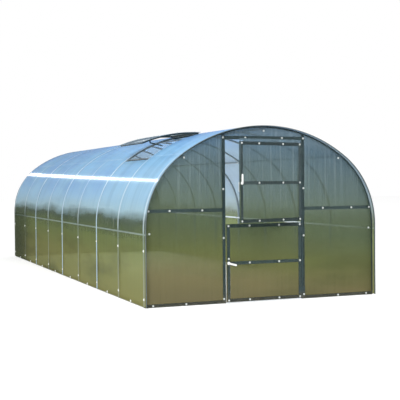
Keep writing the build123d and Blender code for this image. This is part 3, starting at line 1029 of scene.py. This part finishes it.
@dataclass
class Cladding:
    """The roof and wall sheets with their screws, laps and edge trims."""

    arch: Arch
    hoop_screws: tuple[float, ...] = (0.643, 0.095)
    base_screw: float = 0.024
    sheet: float = 0.004
    trim_width: float = 0.016
    trim_thickness: float = 0.0012
    lap_width: float = 0.036
    lap_thickness: float = 0.0012
    lap_gap: float = 0.0003
    lap_bevel: float = 0.94

    def dress(self) -> None:
        """Give the sheets their tints."""
        ROOF_SHEET.dress(*nodes_named("roof_sheet"))
        GABLE_SHEET.dress(*nodes_named("front_sheet", "rear_sheet"))

    def round_arch(self, name: str, y: float, outline: list[Pair], finish: Finish) -> None:
        """Lay a strip round the whole arch.

        Args:
            name: Name of the piece.
            y: Where along the building it lies.
            outline: Lift off the sheet and distance along Y of each corner of its section.
            finish: Its surface.
        """
        maker = Maker(name)
        maker.strip([
            [place + outward * lift + Vector((0, y + along, 0)) for lift, along in outline]
            for place, outward in self.arch.stations(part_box("roof_sheet_1")[0].z)
        ])
        maker.finished(finish, TUNNEL)

    def screws(self) -> None:
        """Screw the sheets to the hoops, and to the base rails between them."""
        low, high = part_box("roof_sheet_2")
        for side, x, outward in (("left", low.x, Vector((-1, 0, 0))), ("right", high.x, Vector((1, 0, 0)))):
            screws = Screws(f"{side}_wall", TUNNEL)
            for y in HOOPS_AT:
                for z in self.hoop_screws:
                    screws.add(Vector((x, y, z)), outward)
            for before, after in zip(HOOPS_AT, HOOPS_AT[1:]):
                screws.add(Vector((x, (before + after) / 2, self.base_screw)), outward)
            screws.build()

    def build(self) -> None:
        """Screw the sheets on, close both ends with a channel, and lap the joints."""
        self.screws()
        wide, thick, deep = self.trim_width, self.trim_thickness, self.sheet + self.trim_thickness
        channel = (
            (thick, -thick), (thick, wide), (0.0, wide), (0.0, 0.0),
            (-self.sheet, 0.0), (-self.sheet, wide), (-deep, wide), (-deep, -thick),
        )
        front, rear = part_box("roof_sheet_1")[0].y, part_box("roof_sheet_4")[1].y
        for name, y, inward in (("front_edge_trim", front, 1.0), ("rear_edge_trim", rear, -1.0)):
            self.round_arch(name, y, [(lift, along * inward) for lift, along in channel], SEAL)
        half, edge = self.lap_width / 2, self.lap_width / 2 * self.lap_bevel
        thick, gap = self.lap_thickness, self.lap_gap
        lap = [(gap, -half), (thick, -edge), (thick, edge), (gap, half)]
        for number in (1, 2, 3):
            self.round_arch(f"sheet_lap_{number}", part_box(f"roof_sheet_{number}")[1].y, lap, LAP)


@dataclass
class Gable:
    """One end wall: its dark frame and the screws of its sheets."""

    end: str
    outward: float
    half_tube: float = 0.020
    outset: float = 0.006
    post_screws: tuple[float, ...] = (0.053, 0.765, 1.335, 1.935)
    lintel_screw: float = 0.240
    rail_screws: tuple[float, ...] = (0.792, 1.193, 1.447)
    base_screws: tuple[float, ...] = (0.999, 1.400)
    purlin_screws: tuple[tuple[float, float], ...] = ((1.012, 1.700), (1.438, 0.836))
    ridge_screw: float = 2.019

    def dress(self) -> None:
        """Coat the frame dark, with shade painted into the coat."""
        names = ("posts", "lintel", "side_rails", "base_rails")
        DARK_COAT_AND_PAINTED_SHADE.dress(*nodes_named(*[f"{self.end}_{name}" for name in names]))

    def build(self) -> None:
        """Screw the sheets to the frame."""
        low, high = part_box(f"{self.end}_sheet_left")
        face = low.y if self.outward < 0 else high.y
        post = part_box(f"{self.end}_posts")[1].x - self.half_tube + self.outset
        rail = middle_of(f"{self.end}_side_rails").z
        foot = middle_of(f"{self.end}_base_rails").z
        half_wall = [
            *((post, z) for z in self.post_screws),
            (self.lintel_screw, self.post_screws[-1]),
            *((x, rail) for x in self.rail_screws),
            *((x, foot) for x in self.base_screws),
            *self.purlin_screws,
        ]
        screws = SmallScrews(f"{self.end}_gable", TUNNEL)
        for x, z in [(0.0, self.ridge_screw)] + [(side * x, z) for side in (-1, 1) for x, z in half_wall]:
            screws.add(Vector((x, face, z)), Vector((0, self.outward, 0)))
        screws.build()


@dataclass
class DoorLeaf:
    """One leaf of the split front door, with its screws, hinge screws and latch."""

    name: str
    middle: float
    half_tube: float = 0.020
    latch_screw_rise: float = 0.052
    plate_screw: float = 0.026
    plate_spread: float = 0.026
    plate_thickness: float = 0.002
    hinge_inset: float = 0.0975
    hinge_screw: float = 0.007
    rosette_rim: float = 0.019
    rosette: Shape = (28, ((1.0, 0.0), (1.0, 0.002), (0.85, 0.0034), (0.0, 0.0036)))
    knob_rim: float = 0.0075
    knob: Shape = (20, ((1.0, -0.001), (1.0, 0.002), (0.7, 0.0034), (0.0, 0.0038)))

    def __post_init__(self) -> None:
        """Find the leaf in the CAD model, and how far open it stands."""
        self.body = f"{self.name}_leaf"
        self.placed = opened(f"{self.body}_hinge")
        self.out = (self.placed.to_3x3() @ Vector((0, -1, 0))).normalized()
        self.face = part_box("lower_leaf_sheet")[0].y
        self.low, self.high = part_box(f"{self.body}_frame")

    def dress(self) -> None:
        """Coat the frame and the hinges dark, with shade painted into the coat, coat the lever, and glaze
        the leaf.
        """
        DARK_COAT_AND_PAINTED_SHADE.dress(NODES[f"{self.body}_frame"], NODES[f"{self.body}_hinges"])
        LEVER_COAT.dress(NODES[f"{self.name}_latch"])
        sheet = replace(
            GABLE_SHEET,
            name=f"{self.body}_polycarbonate",
            direction=tuple(self.placed.to_3x3() @ Vector((1, 0, 0))),
            shift=self.placed.inverted().translation.x,
        )
        sheet.dress(NODES[f"{self.body}_sheet"])

    def build(self) -> None:
        """Screw on the sheet and the hinges, and finish the latch."""
        self.sheet_screws()
        self.hinge_screws()
        self.latch_fittings()

    def sheet_screws(self) -> None:
        """Screw the sheet to the stiles and rails, with one screw higher to clear the latch."""
        screws = SmallScrews(self.body, self.body)
        for z in (self.low.z + self.half_tube, self.middle, self.high.z - self.half_tube):
            for x in LEAF_COLUMNS:
                rise = self.latch_screw_rise if (x, z) == (LEAF_COLUMNS[0], self.middle) else 0.0
                screws.add(self.placed @ Vector((x, self.face, z + rise)), self.out)
        screws.build()

    def hinge_screws(self) -> None:
        """Screw both plates of each hinge on, three screws to a plate."""
        hinge = Vector(JOINTS[f"{self.body}_hinge"]["pos_m"])
        post_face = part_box("front_sheet_left")[0].y - self.plate_thickness * 1.5
        leaf_face = self.face - self.plate_thickness
        look = {"across": self.hinge_screw, "finish": DARK_COAT_AND_PAINTED_SHADE}
        fixed = Bolts(f"{self.name}_post_hinge_screws", TUNNEL, **look)
        moving = Bolts(f"{self.name}_leaf_hinge_screws", self.body, **look)
        for middle in (self.low.z + self.hinge_inset, self.high.z - self.hinge_inset):
            for step in (-1, 0, 1):
                z = middle + step * self.plate_spread
                fixed.add(Vector((hinge.x + self.plate_screw, post_face, z)), Vector((0, -1, 0)))
                moving.add(self.placed @ Vector((hinge.x - self.plate_screw, leaf_face, z)), self.out)
        fixed.build()
        moving.build()

    def latch_fittings(self) -> None:
        """Add the rosette round the spindle and the cap that holds the lever on it."""
        spindle = self.placed.inverted() @ Vector(JOINTS[f"{self.name}_latch_turn"]["pos_m"])
        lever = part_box("lower_latch")[0].y
        latch = f"{self.name}_latch"
        for part, y, rim, shape, finish, body, slot in (
            ("rosette", self.face, self.rosette_rim, self.rosette, LEVER_COAT, self.body, Slot.LEVER),
            ("cap", lever, self.knob_rim, self.knob, ZINC, latch, Slot.FITTING),
        ):
            fitting = Fastenings(part, body)
            fitting.add(self.placed @ Vector((spindle.x, y, spindle.z)), self.out)
            fitting.turn(f"{latch}_{part}", finish, slot, rim, shape)


@dataclass
class RearDoor:
    """The closed door of the rear gable."""

    def dress(self) -> None:
        """Coat the leaves and their hinges dark, with shade painted into the coat, and glaze them."""
        DARK_COAT_AND_PAINTED_SHADE.dress(NODES["rear_leaf_frames"], NODES["rear_hinges"])
        GABLE_SHEET.dress(NODES["rear_leaf_sheets"])

    def build(self) -> None:
        """Screw the sheets to the leaves."""
        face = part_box("rear_leaf_sheets")[1].y
        screws = SmallScrews("rear_door", TUNNEL)
        for z in LEAF_ROWS:
            for x in LEAF_COLUMNS:
                screws.add(Vector((x, face, z)), Vector((0, 1, 0)))
        screws.build()


@dataclass
class RoofVent:
    """The vent in the left slope with its screws, hinges and stay."""

    arch: Arch
    body: str = "vent"
    half_tube: float = 0.020
    skin: float = 0.010
    screw_tilts: tuple[float, ...] = (14.5, 22.0, 29.5, 36.5)
    nut_gap: float = 0.0006

    def dress(self) -> None:
        """Coat the frame and the stay dark, with shade painted into the coat, glaze the vent and plate the
        hinges.
        """
        DARK_COAT_AND_PAINTED_SHADE.dress(NODES["vent_frame"], NODES["vent_trimmers"], NODES["vent_stay"])
        VENT_SHEET.dress(NODES["vent_sheet"])
        ZINC.dress(NODES["vent_hinges"], NODES["vent_hinge_mounts"])

    def build(self) -> None:
        """Screw the sheet to the curved rails, and put a nut on the stay's pivot."""
        low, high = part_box("vent_frame")
        placed = opened("vent_hinge")
        screws = SmallScrews("vent", self.body)
        for y in (low.y + self.half_tube, high.y - self.half_tube):
            for tilt in self.screw_tilts:
                place, outward = self.arch.at(-math.radians(tilt), self.skin)
                place.y = y
                screws.add(placed @ place, placed.to_3x3() @ outward)
        screws.build()
        pivot = Vector(JOINTS["vent_stay_pivot"]["pos_m"])
        pivot.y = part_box("vent_stay")[1].y + self.nut_gap
        nut = Bolts("vent_stay_nut", self.body)
        nut.add(pivot, Vector((0, 1, 0)))
        nut.build()


# ---- the studio ----
@dataclass(frozen=True, kw_only=True)
class StudioFloor(Finish):
    """Matt pale floor that keeps shadows and glows a little where it is seen."""

    roughness: float = 1.0
    specular: float = 0.0
    colour: Rgb = (0.80, 0.80, 0.80)
    glow: float = 0.45

    def surface(self, graph: Graph) -> dict[str, object]:
        """Return the colour and the glow."""
        shown = graph.mix(graph.seen(), (0.0, 0.0, 0.0), (1.0, 1.0, 1.0))
        return {"Base Color": (*self.colour, 1.0), "Emission Color": shown, "Emission Strength": self.glow}


@dataclass(frozen=True)
class Lamp:
    """A soft lamp that the camera doesn't see: square, or drawn out along its length."""

    name: str
    at: Triple
    aim: Triple
    width: float
    power: float
    length: Triple | None = None
    in_gloss: bool = True

    def hang(self) -> None:
        """Hang the lamp so that it lights its aim."""
        away = (Vector(self.at) - Vector(self.aim)).normalized()
        along = Vector(self.length or Vector((0, 0, 1)).cross(away).normalized() * self.width)
        along -= away * along.dot(away)
        light = bpy.data.lights.new(self.name, "AREA")
        light.shape = "RECTANGLE"
        light.size = along.length
        light.size_y = self.width
        light.energy = self.power
        along.normalize()
        holder = bpy.data.objects.new(self.name, light)
        turned = Matrix((along, away.cross(along), away)).transposed()
        holder.matrix_world = Matrix.Translation(self.at) @ turned.to_4x4()
        holder.visible_camera = False
        holder.visible_glossy = self.in_gloss
        bpy.context.scene.collection.objects.link(holder)


@dataclass
class Studio:
    """Floor, soft lamps, white background and camera.

    The rim lamp stands far behind, and draws the bright line along the shoulder.
    """

    camera_at: Triple = (-4.649, -13.4457, 1.4072)
    bearing: float = 21.852
    pitch: float = -1.0866
    roll: float = 0.4783
    lens: float = 80.44
    view_depth: float = 200.0
    floor_size: float = 60.0
    floor_gap: float = 0.001
    air: float = 0.65
    lamps: tuple[Lamp, ...] = (
        Lamp("key_lamp", (-9.0, -12.0, 9.0), (0.0, 0.0, 1.0), 7.0, 1500.0),
        Lamp("fill_lamp", (9.0, -8.0, 6.0), (0.0, 0.0, 1.0), 8.0, 500.0),
        Lamp("rim_lamp", (-5.05, 56.6, 15.65), (-1.25, 0.0, 1.5), 1.0, 2300.0, (-11.1, -15.6, 7.5)),
        Lamp("indoor_lamp", (-0.5, 0.2, 1.4), (1.5, 0.2, 0.9), 0.3, 75.0, (0.0, 6.8, 0.0), in_gloss=False),
    )

    def floor(self) -> None:
        """Lay the pale floor."""
        maker = bmesh.new()
        bmesh.ops.create_grid(maker, x_segments=1, y_segments=1, size=self.floor_size)
        data = bpy.data.meshes.new("studio_floor")
        maker.to_mesh(data)
        maker.free()
        floor = bpy.data.objects.new("studio_floor", data)
        floor.location.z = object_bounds()[0].z - self.floor_gap
        bpy.context.scene.collection.objects.link(floor)
        StudioFloor("pale_floor").dress(floor)
        floor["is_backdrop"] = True

    def background(self) -> None:
        """Make the background white, and the light that it gives plain."""
        world = bpy.data.worlds.new("studio_air")
        world.use_nodes = True
        graph = Graph(world.node_tree)
        sockets = {"Color": (1.0, 1.0, 1.0, 1.0), "Strength": graph.seen().from_to(self.air, 1.0)}
        graph.node("OutputWorld", sockets={"Surface": graph.node("Background", sockets=sockets)})
        bpy.context.scene.world = world

    def camera(self) -> None:
        """Set up the camera."""
        heading, rise, lean = (math.radians(a) for a in (self.bearing, self.pitch, self.roll))
        turn = Matrix.Rotation(-heading, 4, "Z") @ Matrix.Rotation(math.pi / 2 + rise, 4, "X")
        data = bpy.data.cameras.new("camera")
        data.lens = self.lens
        data.clip_end = self.view_depth
        camera = bpy.data.objects.new("camera", data)
        camera.matrix_world = Matrix.Translation(self.camera_at) @ turn @ Matrix.Rotation(-lean, 4, "Z")
        bpy.context.scene.collection.objects.link(camera)
        bpy.context.scene.camera = camera

    def build(self) -> None:
        """Set up everything around the object."""
        self.camera()
        self.floor()
        self.background()
        for lamp in self.lamps:
            lamp.hang()
        bpy.context.scene.view_settings.view_transform = "Standard"


def main() -> None:
    """Build and dress every sub-assembly in order."""
    logging.basicConfig(level=logging.INFO, format="%(name)s: %(message)s")
    Studio().build()
    arch = Arch()
    parts = [
        Hoops(arch),
        Cladding(arch),
        Gable("front", -1.0),
        Gable("rear", 1.0),
        DoorLeaf("lower", middle=LEAF_ROWS[1]),
        DoorLeaf("upper", middle=LEAF_ROWS[4]),
        RearDoor(),
        RoofVent(arch),
    ]
    # Post hinges in the dark coat, whose darkness also paints shade.
    DARK_COAT_AND_PAINTED_SHADE.dress(NODES["post_hinges"])
    for part in parts:
        part.dress()
        part.build()
        LOG.info("finished %s", type(part).__name__)


if __name__ == "__main__":
    main()
